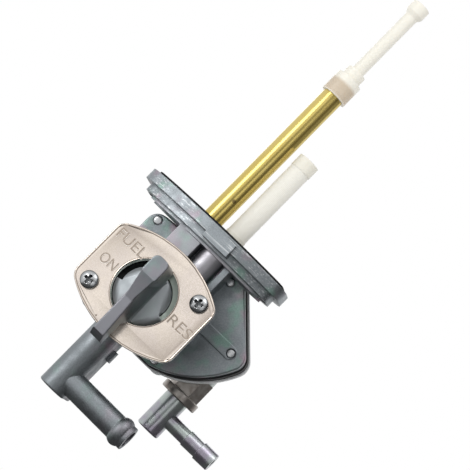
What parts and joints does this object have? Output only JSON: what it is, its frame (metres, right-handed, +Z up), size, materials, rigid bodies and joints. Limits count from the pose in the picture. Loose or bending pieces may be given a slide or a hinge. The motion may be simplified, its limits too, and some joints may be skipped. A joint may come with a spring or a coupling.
{
  "type": "vacuum fuel tap",
  "caption": "Tank-flange fuel tap with a stand pipe, reserve filter, three-way lever, vacuum diaphragm valve, hose spigot and a barbed vacuum elbow.",
  "frame": {"origin": "centre of the tank flange's top face, midway between its bolt holes", "axes": "+Z up into the tank, -Y towards the lever and face plate, +X towards the open ends of both hose nozzles"},
  "size_m": [0.073, 0.0597, 0.1638],
  "materials": {
    "die_cast_zinc": "as cast, with a passivated sheen",
    "black_rubber": "matt",
    "black_plastic": "matt",
    "brass_tube": "drawn, bright",
    "white_nylon": "satin, slightly translucent",
    "lever_metal": "smooth cast",
    "spring_steel": "bright",
    "nickel_plate": "fine satin",
    "screw_steel": "bright plated",
    "plated_union": "plated",
    "plated_elbow": "plated, slightly tinted"
  },
  "bodies": {
    "tap": {"valve_body": "die_cast_zinc", "tank_gasket": "black_rubber", "stand_pipe": "brass_tube", "stand_pipe_extension": "white_nylon", "reserve_pipe": "brass_tube", "reserve_filter": "white_nylon", "valve_packing": "black_rubber", "wave_washer": "spring_steel", "face_plate": "nickel_plate", "face_plate_screws": "screw_steel", "fuel_diaphragm": "black_rubber", "diaphragm_spacer": "black_plastic", "air_diaphragm": "black_rubber", "diaphragm_spring": "spring_steel", "vacuum_cover": "die_cast_zinc", "cover_screws": "screw_steel", "vacuum_union": "plated_union", "vacuum_elbow": "plated_elbow"},
    "lever": {"lever": "lever_metal", "lever_seal_ring": "black_rubber"},
    "plunger": {"plunger_stem": "brass_tube", "plunger_collar": "black_plastic", "spring_seat": "spring_steel", "valve_seal_ring": "black_rubber"}
  },
  "joints": [
    {"name": "lever_turn", "type": "hinge", "parent": "tap", "child": "lever", "pos_m": [0, -0.0184, -0.0298], "axis": [0, -1, 0], "range_deg": [-90, 90]},
    {"name": "valve_lift", "type": "slide", "parent": "tap", "child": "plunger", "axis": [0, 1, 0], "range_m": [0, 0.0016], "stiffness_N_per_m": 400, "springref_m": -0.004, "deforming": ["fuel_diaphragm", "air_diaphragm", "diaphragm_spring"]}
  ]
}
